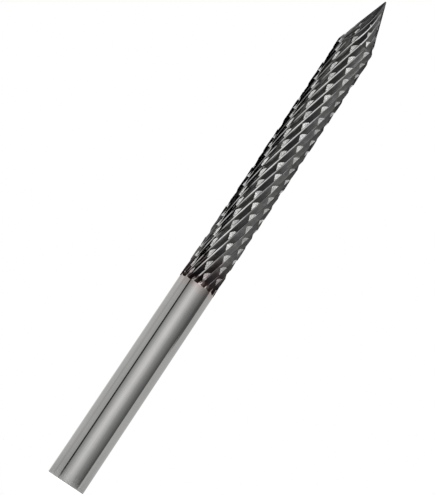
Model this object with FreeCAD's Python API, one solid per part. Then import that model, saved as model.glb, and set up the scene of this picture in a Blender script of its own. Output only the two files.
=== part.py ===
import FreeCAD, Part
import math
import os
from FreeCAD import Vector

# Tyre repair carbide cutter: a ground steel shank with a double-cut carbide head brazed on its end.
# Millimetres and degrees. The axis is Z: the shank's flat end lies at Z = 0 and the point is up.
# Angles round the axis are counted from -Y towards +X.

# Shank
shank_diameter = 6.0
shank_length = 34.35
shank_end_break = 0.08

# Head blank: a short lead-in above the braze, a plain cylinder and a cone
head_diameter = 6.03
lead_in_length = 1.55
head_cylinder_length = 43.89
point_angle = 34.0
tip_flat_diameter = 0.24

# Right-hand cutting flutes
flute_count = 16
flute_lead = 65.03
flute_depth = 0.36
flute_phase = 12.9
rake_share = 0.08
rake_depth = 0.315
floor_share = 0.19
crest_allowance = 0.012
crest_rise = 0.048
flute_start_gap = 0.05
flute_run_out = 1.5
flute_end_diameter = 1.84

# Left-hand chip breaker grooves
breaker_count = 7
breaker_lead = 47.85
breaker_depth = 0.29
breaker_phase = 13.0
breaker_steep_angle = 72.0
breaker_opening = 1.05
breaker_start_gap = 0.3
breaker_run_out = 1.0
breaker_end_diameter = 2.9

# How far a cutter's shape stands out of the blank, and the spacing of its sections
breaker_overhang = 0.25
section_spacing = 6.0
fine_spacing = 0.8

# Sizes worked out from those above
shank_radius = shank_diameter / 2.0
head_radius = head_diameter / 2.0
tip_radius = tip_flat_diameter / 2.0
braze_z = shank_length
full_radius_z = braze_z + lead_in_length
cone_z = full_radius_z + head_cylinder_length
cone_slope = math.tan(math.radians(point_angle / 2.0))
tip_z = cone_z + (head_radius - tip_radius) / cone_slope
flute_pitch = 360.0 / flute_count
breaker_pitch = 360.0 / breaker_count
AXIS_POINT = Vector(0, 0, 0)
AXIS = Vector(0, 0, 1)


def polar(radius, angle, z):
    """Point at a radius, an angle in degrees from -Y and a height."""
    turn = math.radians(angle)
    return Vector(radius * math.sin(turn), -radius * math.cos(turn), z)


def crest_radius(z):
    """Radius of the head's outside, without its lead-in."""
    return head_radius - max(0.0, z - cone_z) * cone_slope


def run_out_lift(z, start_z, length, depth):
    """How far a cutter has risen out of its groove near the shank, as a wheel leaves its cut."""
    if z >= start_z + length:
        return 0.0
    return depth * ((start_z + length - z) / length) ** 2


def taper(z, end_diameter):
    """Share of the full depth: one on the cylinder, nought where the cone has the end diameter."""
    end_radius = end_diameter / 2.0
    return (crest_radius(z) - end_radius) / (head_radius - end_radius)


def stations(start_z, length, end_z):
    """Heights of the sections: close in the run-out and round the start of the cone."""
    run_out_z = start_z + length
    heights = [start_z - length * 0.4 + length * 0.35 * i for i in range(5)]
    straight_end = cone_z - 2.0 * fine_spacing
    steps = max(2, math.ceil((straight_end - run_out_z) / section_spacing))
    heights += [run_out_z + (straight_end - run_out_z) * i / steps for i in range(1, steps + 1)]
    heights += [cone_z + fine_spacing * i for i in (-1, 0, 1, 2)]
    cone_steps = max(2, math.ceil((end_z - heights[-1]) / (2.0 * fine_spacing)))
    last = heights[-1]
    heights += [last + (end_z - last) * i / cone_steps for i in range(1, cone_steps + 1)]
    return heights


def rail(place, heights):
    """Smooth curve through one corner of the section at each height."""
    curve = Part.BSplineCurve()
    curve.interpolate(Points=[place(z) for z in heights], Parameters=[z - heights[0] for z in heights])
    return curve


def strip(low, high):
    """Ruled face between two rails."""
    surface = Part.BSplineSurface()
    surface.buildFromPolesMultsKnots(
        [low.getPoles(), high.getPoles()], [2, 2], low.getMultiplicities(),
        [0.0, 1.0], low.getKnots(), False, False, 1, low.Degree)
    return surface.toShape()


def flat_cap(corners):
    return Part.Face(Part.makePolygon(corners + corners[:1]))


def closed_solid(faces):
    shell = Part.makeShell(faces)
    shell.sewShape()
    solid = Part.makeSolid(shell)
    if solid.Volume < 0:
        solid.reverse()
    return solid


def turned(shape, angle):
    copy = shape.copy()
    copy.rotate(AXIS_POINT, AXIS, angle)
    return copy


def revolved(profile):
    """Turned solid from a closed outline of radius and height pairs."""
    points = [Vector(radius, 0, z) for radius, z in profile]
    return flat_cap(points).revolve(AXIS_POINT, AXIS, 360)


def make_shank():
    return revolved([
        (0, 0),
        (shank_radius - shank_end_break, 0),
        (shank_radius, shank_end_break),
        (shank_radius, shank_length),
        (0, shank_length),
    ])


def make_head_blank():
    """Ground blank, a little over the crests on the cylinder and smooth at the point."""
    blank_radius = head_radius + crest_allowance
    return revolved([
        (0, braze_z),
        (shank_radius, braze_z),
        (blank_radius, full_radius_z),
        (blank_radius, cone_z),
        (tip_radius, tip_z),
        (0, tip_z),
    ])


def flute_corner(share, depth, z):
    """Corner of the fluted section: its share of the pitch past the crest and its depth."""
    start_z = braze_z + flute_start_gap
    if depth > 0:
        rise = run_out_lift(z, start_z, flute_run_out, flute_depth) - depth * taper(z, flute_end_diameter)
    else:
        rise = crest_rise * (head_radius - crest_radius(z)) / head_radius
    angle = flute_phase + share * flute_pitch + 360.0 * z / flute_lead
    return polar(max(crest_radius(z), tip_radius) + rise, angle, z)


def make_fluted_body():
    """Body whose section is one ring of saw teeth: a steep rake face, a sloping floor and a long flank."""
    corners = [
        (0.0, 0.0),
        (rake_share, rake_depth),
        (rake_share + floor_share, flute_depth),
        (1.0, 0.0),
    ]
    heights = stations(braze_z + flute_start_gap, flute_run_out, tip_z + fine_spacing)
    rails = [rail(lambda z, c=c: flute_corner(c[0], c[1], z), heights) for c in corners]
    tooth = [strip(rails[i], rails[i + 1]) for i in range(len(rails) - 1)]
    faces = [turned(face, k * flute_pitch) for k in range(flute_count) for face in tooth]
    for z in (heights[0], heights[-1]):
        ring = [flute_corner(k + share, depth, z) for k in range(flute_count) for share, depth in corners[:-1]]
        faces.append(flat_cap(ring))
    return closed_solid(faces)


def breaker_section(z):
    """Three corners of the chip breaker's section: left edge, root and right edge."""
    radius = crest_radius(z)
    start_z = braze_z + breaker_start_gap
    lift = run_out_lift(z, start_z, breaker_run_out, breaker_depth)
    lift += (1.0 - taper(z, breaker_end_diameter)) * breaker_depth
    angle = breaker_phase - 360.0 * z / breaker_lead
    root = polar(radius - breaker_depth + lift, angle, z)
    edge = polar(radius + lift, angle + math.degrees(breaker_opening / head_radius), z)
    outward = polar(1.0, angle, 0)
    sideways = polar(1.0, angle - 90.0, 0)
    steep = math.radians(breaker_steep_angle)
    steep_length = (breaker_depth + breaker_overhang) / math.sin(steep)
    left = root + outward * (steep_length * math.sin(steep)) + sideways * (steep_length * math.cos(steep))
    return [left, root, root + (edge - root) * (1.0 + 2.0 * breaker_overhang)]


def make_breaker():
    """Single-angle cutter for one left-hand groove."""
    end_z = cone_z + (head_radius - breaker_end_diameter / 2.0) / cone_slope + fine_spacing
    heights = stations(braze_z + breaker_start_gap, breaker_run_out, end_z)
    rails = [rail(lambda z, i=i: breaker_section(z)[i], heights) for i in range(3)]
    faces = [strip(rails[i], rails[(i + 1) % 3]) for i in range(3)]
    for z in (heights[0], heights[-1]):
        faces.append(flat_cap(breaker_section(z)))
    return closed_solid(faces)


def make_cutting_head():
    head = make_head_blank().common(make_fluted_body())
    breaker = make_breaker()
    head = head.cut([turned(breaker, k * breaker_pitch) for k in range(breaker_count)])
    return head.Solids[0] if len(head.Solids) == 1 else head


os.makedirs("parts", exist_ok=True)
nodes = {
    "shank": make_shank(),
    "cutting_head": make_cutting_head(),
}
for name, shape in nodes.items():
    shape.exportStep("parts/" + name + ".step")
    print(name, "valid", shape.isValid(), "solids", len(shape.Solids), "faces", len(shape.Faces),
          "volume", round(shape.Volume, 2))
print("overall length", round(tip_z, 2))
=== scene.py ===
import math

import bmesh
import bpy
import numpy as np
from mathutils import Matrix, Vector


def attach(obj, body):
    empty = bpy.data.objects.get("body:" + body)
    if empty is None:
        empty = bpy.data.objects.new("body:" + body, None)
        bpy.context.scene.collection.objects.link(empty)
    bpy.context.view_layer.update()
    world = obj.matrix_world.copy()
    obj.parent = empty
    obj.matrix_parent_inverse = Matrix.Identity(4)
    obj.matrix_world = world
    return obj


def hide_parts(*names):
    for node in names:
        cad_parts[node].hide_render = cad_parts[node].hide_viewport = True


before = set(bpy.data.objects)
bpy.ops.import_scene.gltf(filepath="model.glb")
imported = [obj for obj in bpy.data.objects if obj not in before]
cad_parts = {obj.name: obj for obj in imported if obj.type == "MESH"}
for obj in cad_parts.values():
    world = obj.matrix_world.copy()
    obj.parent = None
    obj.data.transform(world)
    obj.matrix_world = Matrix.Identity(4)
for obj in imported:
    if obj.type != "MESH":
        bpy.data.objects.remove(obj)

scene = bpy.context.scene
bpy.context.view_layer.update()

# The tool stands on its shank's end with its axis on Z. Millimetres here, metres in Blender.
# Angles round the axis and azimuths are counted from -Y, where the camera is, towards +X.
MM = 0.001
BRAZE_Z = 34.35
WHITE = (1.0, 1.0, 1.0, 1.0)


# Node helpers
def new_material(name):
    material = bpy.data.materials.new(name)
    material.use_nodes = True
    material.node_tree.nodes.clear()
    return material, material.node_tree


def add(tree, kind, **values):
    node = tree.nodes.new(kind)
    for key, value in values.items():
        setattr(node, key, value)
    return node


def link(tree, out, into):
    tree.links.new(out, into)


def math_node(tree, operation, first, second=None):
    node = add(tree, "ShaderNodeMath", operation=operation)
    for socket, value in zip(node.inputs, (first, second)):
        if value is None:
            continue
        if isinstance(value, (int, float)):
            socket.default_value = value
        else:
            link(tree, value, socket)
    return node.outputs[0]


def product(tree, *factors):
    result = factors[0]
    for factor in factors[1:]:
        result = math_node(tree, "MULTIPLY", result, factor)
    return result


def axes(tree, vector):
    """The vector's X, Y and Z."""
    node = add(tree, "ShaderNodeSeparateXYZ")
    link(tree, vector, node.inputs[0])
    return node.outputs


def ramp(tree, factor, stops):
    """Colour ramp from pairs of a place and a grey or colour, level beyond its ends."""
    node = add(tree, "ShaderNodeValToRGB")
    elements = node.color_ramp.elements
    while len(elements) > 1:
        elements.remove(elements[-1])
    for i, (place, colour) in enumerate(stops):
        element = elements[0] if i == 0 else elements.new(place)
        element.position = place
        if isinstance(colour, (int, float)):
            colour = (colour, colour, colour)
        element.color = (*colour, 1.0)
    link(tree, factor, node.inputs[0])
    return node.outputs[0]


def blended(tree, blend_type, first, second, share=None):
    """Two colours multiplied or added, fully or by a share."""
    node = add(tree, "ShaderNodeMix", data_type="RGBA", blend_type=blend_type)
    node.inputs["Factor"].default_value = 1.0
    if share is not None:
        link(tree, share, node.inputs["Factor"])
    link(tree, first, node.inputs["A"])
    link(tree, second, node.inputs["B"])
    return node.outputs["Result"]


# Camera: the photograph's, level with the shank's end, pitched up at the tool and rolled. Metres.
CAMERA_DISTANCE = 0.18967
CAMERA_SIDE = -0.00059
CAMERA_RISE = 0.00048
CAMERA_PITCH = math.radians(12.1)
CAMERA_ROLL = math.radians(33.72)
FOCAL_SHARE = 1290.0 / 495.0
SENSOR_SIZE = 36.0
CLIP_START = 0.001


def make_camera():
    data = bpy.data.cameras.new("camera")
    data.sensor_width = SENSOR_SIZE
    data.lens = FOCAL_SHARE * SENSOR_SIZE
    data.clip_start = CLIP_START
    camera = bpy.data.objects.new("camera", data)
    forward = Vector((0, math.cos(CAMERA_PITCH), math.sin(CAMERA_PITCH)))
    level_up = Vector((0, -math.sin(CAMERA_PITCH), math.cos(CAMERA_PITCH)))
    level_right = Vector((1, 0, 0))
    up = level_up * math.cos(CAMERA_ROLL) - level_right * math.sin(CAMERA_ROLL)
    right = level_right * math.cos(CAMERA_ROLL) + level_up * math.sin(CAMERA_ROLL)
    view = Matrix((right, up, -forward)).transposed().to_4x4()
    view.translation = Vector((CAMERA_SIDE, -CAMERA_DISTANCE, CAMERA_RISE))
    camera.matrix_world = view
    scene.collection.objects.link(camera)
    scene.camera = camera


# World: soft studio panels round the tool. Each is a table of brightness by azimuth times a table
# of shares by elevation, in degrees. The camera itself sees plain white.
WORLD_STRENGTH = 1.4
FRONT_LEVELS = [
    (-92, 0.0), (-80, 0.60), (-62, 0.54), (-55, 0.54), (-53.5, 0.03), (-46, 0.03), (-44.5, 0.36),
    (-36, 0.46), (-24, 0.64), (-12, 0.86), (0, 0.94), (12, 0.80), (24, 0.60), (36, 0.39), (48, 0.285),
    (60, 0.205), (74, 0.115), (91, 0.10), (93, 0.60), (130, 0.60), (140, 0.0),
]
BACK_LEVELS = [
    (-180, 1.30), (-166, 1.25), (-154, 0.86), (-140, 0.66), (-110, 0.66), (-98, 0.62), (-92, 0.50),
    (-80, 0.0), (130, 0.0), (140, 0.60), (156, 0.56), (168, 0.70), (180, 1.30),
]
LEFT_LEVELS = [(-136, 0.0), (-124, 0.8), (-98, 0.8), (-86, 0.0)]
RIGHT_LEVELS = [(10, 0.0), (34, 0.42), (62, 0.40), (84, 0.12), (110, 0.0)]
STEP_LEVELS = [(79, 0.0), (81, 0.5), (91, 0.5), (93, 0.0)]
UPPER_LEVELS = [
    (-180, 0.08), (-150, 0.06), (-120, 0.05), (-82, 0.055), (-62, 0.05), (-45, 0.05), (-18, 0.09),
    (20, 0.24), (45, 0.22), (64, 0.17), (96, 0.12), (112, 0.06), (150, 0.06), (180, 0.08),
]
STRIP_LEVELS = [
    (-82, 0.06), (-45, 0.1), (-18, 0.36), (20, 0.96), (45, 0.9), (64, 0.68), (90, 0.45),
    (99, 0.0), (150, 0.0), (180, 0.06),
]
FRONT_SHARE = [(-2, 0.0), (0, 0.85), (1, 1.0), (12, 1.0), (16, 0.7), (20, 0.12), (24, 0.0)]
BACK_SHARE = [(-2, 0.0), (0, 0.85), (1, 1.0), (10.5, 1.0), (11.5, 0.3), (13, 0.0)]
SIDE_SHARE = [(10.2, 0.0), (11.5, 1.0), (17, 1.0), (20, 0.0)]
STEP_SHARE = [(-2, 0.0), (0, 1.0), (7.3, 1.0), (7.7, 0.0)]
HIGH_SHARE = [(13, 0.0), (22, 1.0), (48, 1.0), (52, 0.6), (90, 0.5)]
STRIP_SHARE = [(37, 0.0), (41, 1.0), (48, 1.0), (51, 0.1), (90, 0.0)]
PANELS = [
    (FRONT_LEVELS, FRONT_SHARE), (BACK_LEVELS, BACK_SHARE), (LEFT_LEVELS, SIDE_SHARE),
    (RIGHT_LEVELS, SIDE_SHARE), (STEP_LEVELS, STEP_SHARE), (UPPER_LEVELS, HIGH_SHARE),
    (STRIP_LEVELS, STRIP_SHARE),
]


def share_of_range(tree, angle, whole):
    """An angle about nought, in radians, as a share of its whole range."""
    return math_node(tree, "ADD", math_node(tree, "MULTIPLY", angle, 1.0 / whole), 0.5)


def panel_light(tree):
    direction = axes(tree, add(tree, "ShaderNodeTexCoord").outputs["Generated"])
    forward = math_node(tree, "MULTIPLY", direction["Y"], -1.0)
    azimuth = share_of_range(tree, math_node(tree, "ARCTAN2", direction["X"], forward), 2.0 * math.pi)
    elevation = share_of_range(tree, math_node(tree, "ARCSINE", direction["Z"]), math.pi)
    total = None
    for levels, shares in PANELS:
        across = ramp(tree, azimuth, [((a + 180.0) / 360.0, v / WORLD_STRENGTH) for a, v in levels])
        upward = ramp(tree, elevation, [((e + 90.0) / 180.0, v) for e, v in shares])
        panel = blended(tree, "MULTIPLY", across, upward)
        total = panel if total is None else blended(tree, "ADD", total, panel)
    return total


def make_world():
    world = bpy.data.worlds.new("studio")
    scene.world = world
    world.use_nodes = True
    tree = world.node_tree
    tree.nodes.clear()
    studio_light = add(tree, "ShaderNodeBackground")
    studio_light.inputs["Strength"].default_value = WORLD_STRENGTH
    link(tree, panel_light(tree), studio_light.inputs["Color"])
    white = add(tree, "ShaderNodeBackground")
    white.inputs["Color"].default_value = WHITE
    white.inputs["Strength"].default_value = 1.0
    path = add(tree, "ShaderNodeLightPath")
    chooser = add(tree, "ShaderNodeMixShader")
    link(tree, path.outputs["Is Camera Ray"], chooser.inputs["Fac"])
    link(tree, studio_light.outputs[0], chooser.inputs[1])
    link(tree, white.outputs[0], chooser.inputs[2])
    out = add(tree, "ShaderNodeOutputWorld")
    link(tree, chooser.outputs[0], out.inputs["Surface"])


# Lamps: square and soft, for the floor and the matt part of the notch facets, not for reflections
def area_lamp(name, place, target, size, power):
    data = bpy.data.lights.new(name, "AREA")
    data.shape = "SQUARE"
    data.size = size
    data.energy = power
    lamp = bpy.data.objects.new(name, data)
    lamp.location = place
    lamp.rotation_euler = (Vector(target) - Vector(place)).to_track_quat("-Z", "Y").to_euler()
    lamp.visible_glossy = False
    scene.collection.objects.link(lamp)


# Floor: a white disc under the tool. Its glow is for the camera only.
FLOOR_RADIUS = 0.15
FLOOR_SIDES = 96
FLOOR_COLOUR = (0.86, 0.86, 0.86, 1.0)
FLOOR_GLOW = 0.5


def floor_material():
    material, tree = new_material("floor_white")
    diffuse = add(tree, "ShaderNodeBsdfDiffuse")
    diffuse.inputs["Color"].default_value = FLOOR_COLOUR
    glow = add(tree, "ShaderNodeEmission")
    glow.inputs["Color"].default_value = WHITE
    path = add(tree, "ShaderNodeLightPath")
    link(tree, product(tree, path.outputs["Is Camera Ray"], FLOOR_GLOW), glow.inputs["Strength"])
    both = add(tree, "ShaderNodeAddShader")
    link(tree, diffuse.outputs[0], both.inputs[0])
    link(tree, glow.outputs[0], both.inputs[1])
    out = add(tree, "ShaderNodeOutputMaterial")
    link(tree, both.outputs[0], out.inputs["Surface"])
    return material


def make_floor():
    mesh = bpy.data.meshes.new("floor")
    turns = [2.0 * math.pi * i / FLOOR_SIDES for i in range(FLOOR_SIDES)]
    rim = [(FLOOR_RADIUS * math.cos(turn), FLOOR_RADIUS * math.sin(turn), 0) for turn in turns]
    mesh.from_pydata(rim, [], [tuple(range(FLOOR_SIDES))])
    mesh.materials.append(floor_material())
    floor = bpy.data.objects.new("floor", mesh)
    scene.collection.objects.link(floor)


# Material helpers
def millimetres(tree):
    """Place on the tool in millimetres."""
    metres = add(tree, "ShaderNodeTexCoord").outputs["Object"]
    return scaled(tree, metres, (1000.0, 1000.0, 1000.0))


def scaled(tree, vector, factors):
    node = add(tree, "ShaderNodeVectorMath", operation="MULTIPLY")
    link(tree, vector, node.inputs[0])
    node.inputs[1].default_value = factors
    return node.outputs[0]


def noise(tree, vector, waves, detail=2.0, roughness=0.5):
    """Noise with so many waves to a unit: one number, or one for each axis."""
    if isinstance(waves, tuple):
        vector = scaled(tree, vector, waves)
        waves = 1.0
    node = add(tree, "ShaderNodeTexNoise")
    node.inputs["Scale"].default_value = waves
    node.inputs["Detail"].default_value = detail
    node.inputs["Roughness"].default_value = roughness
    link(tree, vector, node.inputs["Vector"])
    return node.outputs["Fac"]


def spread(tree, factor, low, high):
    """Noise about a half, stretched to run from low to high."""
    node = add(tree, "ShaderNodeMapRange")
    node.inputs["From Min"].default_value = 0.3
    node.inputs["From Max"].default_value = 0.7
    node.inputs["To Min"].default_value = low
    node.inputs["To Max"].default_value = high
    link(tree, factor, node.inputs["Value"])
    return node.outputs[0]


def shaded(tree, colour, level):
    """The colour times a level from nought to two."""
    doubled = [2.0 * part for part in colour]
    return ramp(tree, math_node(tree, "MULTIPLY", level, 0.5), [(0.0, 0.0), (1.0, doubled)])


def bumped(tree, height, strength, distance):
    node = add(tree, "ShaderNodeBump")
    node.inputs["Strength"].default_value = strength
    node.inputs["Distance"].default_value = distance
    link(tree, height, node.inputs["Height"])
    return node.outputs[0]


def metal(tree, colour, roughness, normal, metallic=1.0):
    shader = add(tree, "ShaderNodeBsdfPrincipled")
    shader.inputs["Metallic"].default_value = metallic
    link(tree, colour, shader.inputs["Base Color"])
    link(tree, roughness, shader.inputs["Roughness"])
    link(tree, normal, shader.inputs["Normal"])
    out = add(tree, "ShaderNodeOutputMaterial")
    link(tree, shader.outputs[0], out.inputs["Surface"])


def flute_lines(tree):
    """Flutes passed and millimetres up."""
    return add(tree, "ShaderNodeUVMap", uv_map="flute_lines").outputs[0]


# Colours at level one
STEEL_COLOUR = (0.5675, 0.5625, 0.555)
CARBIDE_COLOUR = (1.0, 0.995, 0.985)
NOTCH_COLOUR = (0.98, 0.975, 0.965)
LAND_COLOUR = (0.92, 0.81, 0.78)

# Levels across one tooth, with painted light: the cutting edge as a bright line, the rake darkened as
# painted shade, the floor brightened as a painted highlight, the flank, and the dark line behind the edge as
# painted shade
TOOTH_PAINTED_LIGHT = [
    (0.0, 0.62), (0.012, 0.18), (0.09, 0.18), (0.105, 0.84), (0.2, 0.82), (0.23, 0.42), (0.31, 0.40),
    (0.6, 0.43), (0.8, 0.48), (0.93, 0.5), (0.945, 0.16), (0.985, 0.16), (1.0, 0.62),
]

# Heat tint of the braze, by millimetres above the joint
HEAD_TINT = [
    (0.0, (0.24, 0.15, 0.14)), (0.9, (0.21, 0.15, 0.15)), (1.9, (0.23, 0.19, 0.22)),
    (2.9, (0.34, 0.28, 0.27)), (4.2, (0.60, 0.53, 0.51)), (6.2, (1.0, 1.0, 1.0)),
]
NOTCH_TINT = [
    (0.0, (0.5, 0.38, 0.36)), (1.4, (0.62, 0.54, 0.54)), (2.6, (0.9, 0.87, 0.86)), (3.6, (1.0, 1.0, 1.0)),
]
SHANK_TINT = [
    (-4.0, (1.0, 1.0, 1.0)), (-1.2, (1.0, 0.98, 0.97)), (-0.3, (1.0, 0.93, 0.91)), (0.0, (0.96, 0.86, 0.84)),
]
# How much of the tint shows across one tooth: the floor's painted highlight and the edge stay bright
TINT_SHARE = [
    (0.0, 0.3), (0.02, 1.0), (0.075, 1.0), (0.1, 0.3), (0.26, 0.3), (0.3, 1.0), (0.97, 1.0), (1.0, 0.3),
]
TINT_BELOW_JOINT = 5.0
TINT_SHARE_PER_MM = 0.09
TINT_PATCHES = 0.9

# Waves of the noises to a millimetre, across the tool and along it
STEEL_RINGS = (0.35, 0.35, 26.0)
STEEL_SCUFFS = (5.5, 5.5, 0.16)
STEEL_CLOUD = 0.25
LAND_RINGS = (0.35, 0.35, 20.0)
LAND_PATCHES = 2.4
CARBIDE_CLOUD = 1.6
NOTCH_GRAIN = 3.6

# Waves of the wheel lines to a flute and to a millimetre along it
FLUTE_STREAKS = (26.0, 0.55, 0.0)
FLUTE_FINE_LINES = (90.0, 1.6, 0.0)
NOTCH_MARKS = (9.0, 5.0, 0.0)

# Heights of the bumps in metres
RING_HEIGHT = 0.000002
STREAK_HEIGHT = 0.000012
GRAIN_HEIGHT = 0.00005


def heat_tint(tree, stops, wander):
    """Tint by height above the joint, whose limits wander by so many millimetres."""
    place = millimetres(tree)
    uneven = spread(tree, noise(tree, place, TINT_PATCHES), -wander, wander)
    height = math_node(tree, "SUBTRACT", axes(tree, place)["Z"], BRAZE_Z)
    height = math_node(tree, "ADD", height, uneven)
    share = product(tree, math_node(tree, "ADD", height, TINT_BELOW_JOINT), TINT_SHARE_PER_MM)
    return ramp(tree, share, [((z + TINT_BELOW_JOINT) * TINT_SHARE_PER_MM, colour) for z, colour in stops])


def steel_material():
    """Ground steel: fine rings from the grinding wheel and faint scuffs along the tool."""
    material, tree = new_material("ground_steel")
    place = millimetres(tree)
    rings = noise(tree, place, STEEL_RINGS, 3.0, 0.6)
    scuffs = noise(tree, place, STEEL_SCUFFS, 3.0, 0.6)
    cloud = noise(tree, place, STEEL_CLOUD)
    level = product(tree, spread(tree, rings, 0.95, 1.05), spread(tree, scuffs, 0.94, 1.06))
    level = product(tree, level, spread(tree, cloud, 0.97, 1.03))
    grey = shaded(tree, STEEL_COLOUR, level)
    colour = blended(tree, "MULTIPLY", grey, heat_tint(tree, SHANK_TINT, 0.3))
    metal(tree, colour, spread(tree, scuffs, 0.05, 0.085), bumped(tree, rings, 0.1, RING_HEIGHT))
    return material


def flute_material():
    """Dark ground carbide with fine wheel lines that run along the flutes, and painted highlight and painted
    shade across each tooth.
    """
    material, tree = new_material("ground_carbide")
    lines = flute_lines(tree)
    share = math_node(tree, "FRACT", axes(tree, lines)["X"])
    streaks = noise(tree, lines, FLUTE_STREAKS, 3.0, 0.65)
    fine = noise(tree, lines, FLUTE_FINE_LINES)
    cloud = noise(tree, millimetres(tree), CARBIDE_CLOUD, 3.0)
    level = product(tree, spread(tree, streaks, 0.68, 1.32), spread(tree, cloud, 0.86, 1.14))
    level = product(tree, level, spread(tree, fine, 0.84, 1.16))
    grey = shaded(tree, CARBIDE_COLOUR, level)
    # Painted highlight on the floor and painted shade on the rake and behind the edge, across each tooth
    colour = blended(tree, "MULTIPLY", ramp(tree, share, TOOTH_PAINTED_LIGHT), grey)
    tint = heat_tint(tree, HEAD_TINT, 0.7)
    colour = blended(tree, "MULTIPLY", colour, tint, ramp(tree, share, TINT_SHARE))
    metal(tree, colour, spread(tree, streaks, 0.08, 0.16), bumped(tree, streaks, 0.22, STREAK_HEIGHT))
    return material


def notch_material():
    """Bright facets of the chip breakers, with the coarser marks of their wheel."""
    material, tree = new_material("cut_carbide")
    lines = flute_lines(tree)
    grain = noise(tree, millimetres(tree), NOTCH_GRAIN, 4.0, 0.65)
    marks = noise(tree, lines, NOTCH_MARKS, 2.0, 0.6)
    level = product(tree, spread(tree, grain, 0.5, 1.2), spread(tree, marks, 0.74, 1.2))
    grey = shaded(tree, NOTCH_COLOUR, level)
    colour = blended(tree, "MULTIPLY", grey, heat_tint(tree, NOTCH_TINT, 0.7))
    normal = bumped(tree, grain, 0.6, GRAIN_HEIGHT)
    metal(tree, colour, spread(tree, marks, 0.12, 0.24), normal, metallic=0.62)
    return material


def land_material():
    """Bare ground metal between the flutes at the braze, with a straw tint."""
    material, tree = new_material("braze_land")
    place = millimetres(tree)
    rings = noise(tree, place, LAND_RINGS, 3.0, 0.6)
    patches = noise(tree, place, LAND_PATCHES)
    level = product(tree, spread(tree, rings, 0.94, 1.06), spread(tree, patches, 0.8, 1.1))
    colour = shaded(tree, LAND_COLOUR, level)
    metal(tree, colour, spread(tree, patches, 0.08, 0.16), bumped(tree, rings, 0.1, RING_HEIGHT))
    return material


def dress(node, material):
    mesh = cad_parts[node].data
    mesh.materials.clear()
    mesh.materials.append(material)


# Head mesh: the CAD node's tooth form, in columns that follow the flutes, with rows at each notch.
# Millimetres, with the part's own values.
HEAD_RADIUS = 3.015
BLANK_RADIUS = 3.027
SHANK_RADIUS = 3.0
FULL_RADIUS_Z = 35.9
CONE_Z = 79.79
CONE_SLOPE = math.tan(math.radians(17.0))
TIP_RADIUS = 0.12
TIP_Z = CONE_Z + (HEAD_RADIUS - TIP_RADIUS) / CONE_SLOPE

FLUTES = 16
FLUTE_PITCH = 360.0 / FLUTES
FLUTE_LEAD = 65.03
FLUTE_DEPTH = 0.36
FLUTE_PHASE = 12.9
RAKE_SHARE = 0.08
RAKE_DEPTH = 0.315
FLOOR_SHARE = 0.19
CREST_RISE = 0.048
FLUTE_START_Z = 34.4
FLUTE_RUN_OUT = 1.5
FLUTE_END_RADIUS = 0.92

BREAKERS = 7
BREAKER_PITCH = 360.0 / BREAKERS
BREAKER_LEAD = 47.85
BREAKER_DEPTH = 0.29
BREAKER_PHASE = 13.0
BREAKER_STEEP = math.radians(72.0)
BREAKER_OPENING = 1.05
BREAKER_START_Z = 34.65
BREAKER_RUN_OUT = 1.0
BREAKER_END_RADIUS = 1.45
STEEP_WALL_REACH = 0.6
PAST_WALL_RADIUS = 9.0

# Degrees by which a flute and a breaker turn apart over a millimetre of height
CROSSING_RATE = 360.0 / FLUTE_LEAD + 360.0 / BREAKER_LEAD

# Columns across one tooth, and rows up each notch wall and between two notches
COLUMNS = [0.0, 0.04, 0.08, 0.127, 0.174, 0.222, 0.27, 0.33, 0.39, 0.47, 0.55, 0.64, 0.73, 0.82, 0.91]
WALL_ROWS = 5
PLAIN_ROWS = 13
LAST_ROWS_LENGTH = 4.0

# Kinds of row, and finishes in the order of the head's materials
NOTCH_ENTRY, NOTCH_WALL, PLAIN, CREASE = range(4)
FLUTE_FINISH, NOTCH_FINISH, LAND_FINISH = range(3)

# Heights searched for a notch about its root, and for where a flute leaves the blank
NOTCH_OFFSETS = np.linspace(-0.4, 2.2, 521)
LEAVE_HEIGHTS = np.linspace(BRAZE_Z, 37.0, 800)
ROOTS_BELOW_HEAD = 3.0
ROOTS_ABOVE_HEAD = 1.0
CREASE_REACH = 0.2
LAND_MARGIN = 0.02
LEAST_DIFFERENCE = 1e-9

# Clean-up of the mesh, in metres, and the angle from which an edge is sharp
MERGE_DISTANCE = 2e-7
LEAST_EDGE = 1e-7
SHARP_ANGLE = math.radians(6.0)


def crest_radius(z):
    return np.maximum(HEAD_RADIUS - np.maximum(0.0, z - CONE_Z) * CONE_SLOPE, TIP_RADIUS)


def blank_radius(z):
    lead_in = SHANK_RADIUS + (z - BRAZE_Z) / (FULL_RADIUS_Z - BRAZE_Z) * (BLANK_RADIUS - SHANK_RADIUS)
    cone = TIP_RADIUS + (TIP_Z - z) / (TIP_Z - CONE_Z) * (BLANK_RADIUS - TIP_RADIUS)
    return np.minimum(np.minimum(lead_in, BLANK_RADIUS), cone)


def lift(z, start, length, depth):
    """How far a wheel has risen out of its cut near the shank."""
    return depth * np.maximum(0.0, (start + length - z) / length) ** 2


def taper(z, end_radius):
    """Share of the full depth: one on the cylinder, nought where the cone has the end radius."""
    return (HEAD_RADIUS - np.maximum(0.0, z - CONE_Z) * CONE_SLOPE - end_radius) / (HEAD_RADIUS - end_radius)


def chord(r0, t0, r1, t1, t):
    """Radius at angle t of the straight line between two points given by radius and angle."""
    return r0 * r1 * np.sin(t1 - t0) / (r0 * np.sin(t - t0) + r1 * np.sin(t1 - t))


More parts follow.
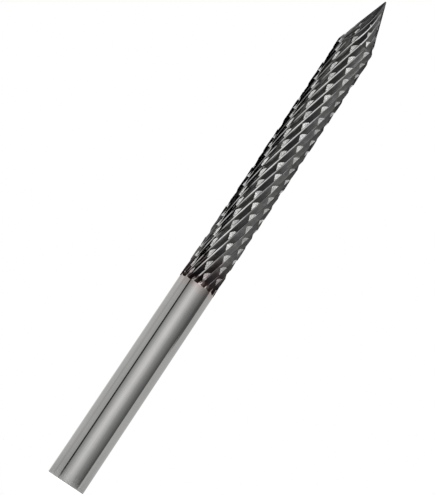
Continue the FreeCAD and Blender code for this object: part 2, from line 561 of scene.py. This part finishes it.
def flute_radius(share, z):
    """Radius of the fluted section at a share of the pitch past its crest."""
    crest = crest_radius(z) + CREST_RISE * (HEAD_RADIUS - crest_radius(z)) / HEAD_RADIUS
    top = crest_radius(z) + lift(z, FLUTE_START_Z, FLUTE_RUN_OUT, FLUTE_DEPTH)
    foot = top - RAKE_DEPTH * taper(z, FLUTE_END_RADIUS)
    valley = top - FLUTE_DEPTH * taper(z, FLUTE_END_RADIUS)
    pitch = math.radians(FLUTE_PITCH)
    rake_end = RAKE_SHARE
    floor_end = RAKE_SHARE + FLOOR_SHARE
    rake = chord(crest, 0.0, foot, rake_end * pitch, share * pitch)
    bottom = chord(foot, rake_end * pitch, valley, floor_end * pitch, share * pitch)
    flank = chord(valley, floor_end * pitch, crest, pitch, share * pitch)
    return np.where(share <= rake_end, rake, np.where(share <= floor_end, bottom, flank))


def column_radius(share, z):
    return np.minimum(blank_radius(z), flute_radius(share, z))


def groove_radius(turn, z):
    """Radius of a chip breaker's two walls at an angle from its root, in radians."""
    edge = crest_radius(z) + lift(z, BREAKER_START_Z, BREAKER_RUN_OUT, BREAKER_DEPTH)
    edge = edge + (1.0 - taper(z, BREAKER_END_RADIUS)) * BREAKER_DEPTH
    root = edge - BREAKER_DEPTH
    right = chord(root, 0.0, edge, BREAKER_OPENING / HEAD_RADIUS, turn)
    outward = root + STEEP_WALL_REACH * math.sin(BREAKER_STEEP)
    sideways = STEEP_WALL_REACH * math.cos(BREAKER_STEEP)
    left_turn = -np.arctan2(sideways, outward)
    left = chord(np.hypot(outward, sideways), left_turn, root, 0.0, np.maximum(turn, left_turn))
    left = np.where(turn < left_turn, PAST_WALL_RADIUS, left)
    return np.where(turn >= 0.0, right, left)


def groove_roots(shares):
    """Heights at which the grooves' roots cross each column."""
    phase = BREAKER_PHASE - FLUTE_PHASE
    first = math.floor((CROSSING_RATE * (BRAZE_Z - ROOTS_BELOW_HEAD) - phase) / BREAKER_PITCH)
    last = math.ceil((CROSSING_RATE * (TIP_Z + ROOTS_ABOVE_HEAD) - phase) / BREAKER_PITCH) + BREAKERS
    order = np.arange(first, last + 1)
    return (phase + order[None, :] * BREAKER_PITCH - shares[:, None] * FLUTE_PITCH) / CROSSING_RATE


def groove_spans(within, root_z):
    """Where each groove enters and leaves each column, and whether it cuts it at all."""
    z = root_z[:, :, None] + NOTCH_OFFSETS
    turn = np.radians(CROSSING_RATE * NOTCH_OFFSETS)
    excess = column_radius(within[:, None, None], z) - groove_radius(turn, z)
    cut = excess > 0.0
    cuts = cut.any(axis=2)
    step = NOTCH_OFFSETS[1] - NOTCH_OFFSETS[0]

    def refined(index, side):
        other = np.clip(index + side, 0, len(NOTCH_OFFSETS) - 1)
        inside = np.take_along_axis(excess, index[:, :, None], 2)[:, :, 0]
        outside = np.take_along_axis(excess, other[:, :, None], 2)[:, :, 0]
        part = np.clip(inside / np.maximum(inside - outside, LEAST_DIFFERENCE), 0.0, 1.0)
        return root_z + NOTCH_OFFSETS[index] + side * step * part

    enter = cut.argmax(axis=2)
    leave = cut.shape[2] - 1 - cut[:, :, ::-1].argmax(axis=2)
    z_in = np.where(cuts, refined(enter, -1), root_z)
    z_out = np.where(cuts, refined(leave, 1), root_z)
    return z_in, z_out, cuts


def notch_rows(root_z, z_in, z_out):
    """Heights of the rows from each notch to the next, by column, notch and row, and their kinds."""
    z_mid = np.clip(root_z, z_in, z_out)
    next_in = np.concatenate([z_in[:, 1:], z_in[:, -1:] + LAST_ROWS_LENGTH], axis=1)
    rows = [z_in]
    rows += [z_mid + (z_out - z_mid) * i / WALL_ROWS for i in range(WALL_ROWS + 1)]
    rows += [z_out + (next_in - z_out) * i / (PLAIN_ROWS + 1) for i in range(1, PLAIN_ROWS + 1)]
    kinds = [NOTCH_ENTRY] + [NOTCH_WALL] * (WALL_ROWS + 1) + [PLAIN] * PLAIN_ROWS
    return np.stack(rows, axis=2), np.array(kinds)


def leave_heights(within):
    """Height at which each column's flute leaves the blank above the joint."""
    cut = flute_radius(within[:, None], LEAVE_HEIGHTS) < blank_radius(LEAVE_HEIGHTS)
    return np.where(cut.any(axis=1), LEAVE_HEIGHTS[cut.argmax(axis=1)], BRAZE_Z)


def snap_to_creases(z, kind, creases):
    """Move each column's nearest plain row to each crease."""
    columns = np.arange(len(z))
    for crease in creases:
        distance = np.where(kind == PLAIN, np.abs(z - crease[:, None]), np.inf)
        nearest = distance.argmin(axis=1)
        close = distance[columns, nearest] < CREASE_REACH
        z[columns[close], nearest[close]] = crease[close]
        kind[columns[close], nearest[close]] = CREASE


def head_surface():
    """Points in metres, faces, their finishes, and each point's flutes passed and height."""
    shares = np.array([k + c for k in range(FLUTES) for c in COLUMNS] + [float(FLUTES)])
    within = np.where(shares == FLUTES, 0.0, shares % 1.0)
    root_z = groove_roots(shares)
    z_in, z_out, cuts = groove_spans(within, root_z)
    rows, row_kinds = notch_rows(root_z, z_in, z_out)
    columns = len(shares)
    z = rows.reshape(columns, -1)
    kind = np.broadcast_to(row_kinds, rows.shape).reshape(columns, -1).copy()
    crossing_z = np.repeat(root_z, len(row_kinds), axis=1)
    notched = np.repeat(cuts, len(row_kinds), axis=1)
    leave_z = leave_heights(within)
    snap_to_creases(z, kind, (leave_z, np.full(columns, FULL_RADIUS_Z), np.full(columns, CONE_Z)))

    inside = (z > BRAZE_Z) & (z < TIP_Z)
    z = np.clip(z, BRAZE_Z, TIP_Z)
    radius = column_radius(within[:, None], z)
    groove = groove_radius(np.radians(CROSSING_RATE * (z - crossing_z)), z)
    in_groove = (kind <= NOTCH_WALL) & inside & notched
    radius = np.where(in_groove, np.minimum(radius, groove), radius)
    angle = np.radians(FLUTE_PHASE + shares[:, None] * FLUTE_PITCH + 360.0 * z / FLUTE_LEAD)
    points = np.stack([radius * np.sin(angle), -radius * np.cos(angle), z], axis=2) * MM
    places = np.stack([np.broadcast_to(shares[:, None], z.shape), z], axis=2)

    numbers = np.arange(z.size).reshape(z.shape)
    quads = np.stack([numbers[:-1, :-1], numbers[1:, :-1], numbers[1:, 1:], numbers[:-1, 1:]], axis=2)
    wall = (kind[:-1, :-1] <= NOTCH_WALL) & (kind[:-1, 1:] <= NOTCH_WALL)
    wall = wall & (notched[:-1, :-1] | notched[1:, :-1])
    top_z = np.maximum(z[:-1, 1:], z[1:, 1:])
    land_z = np.maximum(leave_z[:-1], leave_z[1:])[:, None] + LAND_MARGIN
    finish = np.where(top_z <= land_z, LAND_FINISH, np.where(wall, NOTCH_FINISH, FLUTE_FINISH))
    height = (z[:-1, 1:] + z[1:, 1:]) - (z[:-1, :-1] + z[1:, :-1])
    keep = height > LEAST_DIFFERENCE
    return points.reshape(-1, 3), quads[keep], finish[keep], places.reshape(-1, 2)


def clean_up(mesh):
    """Merge the seam and the clipped rows, close the two ends and smooth the shading."""
    work = bmesh.new()
    work.from_mesh(mesh)
    bmesh.ops.remove_doubles(work, verts=work.verts, dist=MERGE_DISTANCE)
    bmesh.ops.dissolve_degenerate(work, edges=work.edges, dist=LEAST_EDGE)
    bmesh.ops.holes_fill(work, edges=[edge for edge in work.edges if edge.is_boundary], sides=0)
    bmesh.ops.recalc_face_normals(work, faces=work.faces)
    for face in work.faces:
        face.smooth = True
    work.to_mesh(mesh)
    work.free()
    mesh.set_sharp_from_angle(angle=SHARP_ANGLE)


def make_head():
    """Toothed head in place of the CAD node, with one material for each finish."""
    points, quads, finish, places = head_surface()
    mesh = bpy.data.meshes.new("toothed_head")
    mesh.from_pydata(points.tolist(), [], quads.tolist())
    mesh.polygons.foreach_set("material_index", finish.astype(np.int32))
    corners = np.zeros(len(mesh.loops), dtype=np.int32)
    mesh.loops.foreach_get("vertex_index", corners)
    layer = mesh.uv_layers.new(name="flute_lines")
    layer.data.foreach_set("uv", places[corners].astype(np.float32).ravel())
    clean_up(mesh)
    for material in (flute_material(), notch_material(), land_material()):
        mesh.materials.append(material)
    head = bpy.data.objects.new("toothed_head", mesh)
    scene.collection.objects.link(head)
    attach(head, "root")
    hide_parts("cutting_head")


make_camera()
make_world()
area_lamp("top_lamp", place=(-0.25, -0.2, 0.75), target=(0, 0, 0.02), size=0.4, power=3.2)
area_lamp("front_lamp", place=(-0.2, -0.52, 0.14), target=(0, 0, 0.05), size=0.3, power=1.8)
make_floor()
dress("shank", steel_material())
dress("cutting_head", flute_material())
make_head()
scene.view_settings.view_transform = "Standard"
